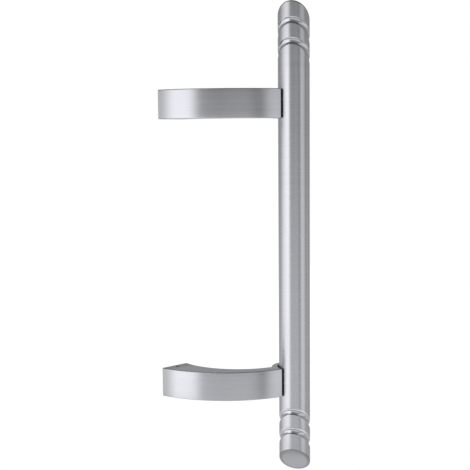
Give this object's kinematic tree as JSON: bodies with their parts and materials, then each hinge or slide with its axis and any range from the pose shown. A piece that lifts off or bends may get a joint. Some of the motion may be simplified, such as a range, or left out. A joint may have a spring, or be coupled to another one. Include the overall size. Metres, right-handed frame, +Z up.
{
  "type": "door pull handle",
  "caption": "Tubular door pull handle with oblique, ring-grooved ends, carried out from the door and to one side of its fixings by curved arms.",
  "frame": {"origin": "on the face of the door, midway between the two door fixings", "axes": "+Z up along the grip, +X along the door from the fixings towards the grip, +Y into the door, so the grip stands out towards -Y"},
  "size_m": [0.1268, 0.1098, 0.5108],
  "materials": {
    "grip_steel": "satin, brushed along the tube",
    "bracket_steel": "satin, brushed round the arm",
    "pad_rubber": "matt black",
    "fixing_steel": "plain machined"
  },
  "bodies": {
    "root": {"grip_tube": "grip_steel", "upper_end_cap": "grip_steel", "lower_end_cap": "grip_steel", "upper_bracket": "bracket_steel", "lower_bracket": "bracket_steel", "upper_saddle_pad": "pad_rubber", "lower_saddle_pad": "pad_rubber", "upper_cradle_screw": "fixing_steel", "lower_cradle_screw": "fixing_steel", "upper_tube_insert": "fixing_steel", "lower_tube_insert": "fixing_steel", "upper_grub_screw": "fixing_steel", "lower_grub_screw": "fixing_steel"}
  },
  "joints": []
}
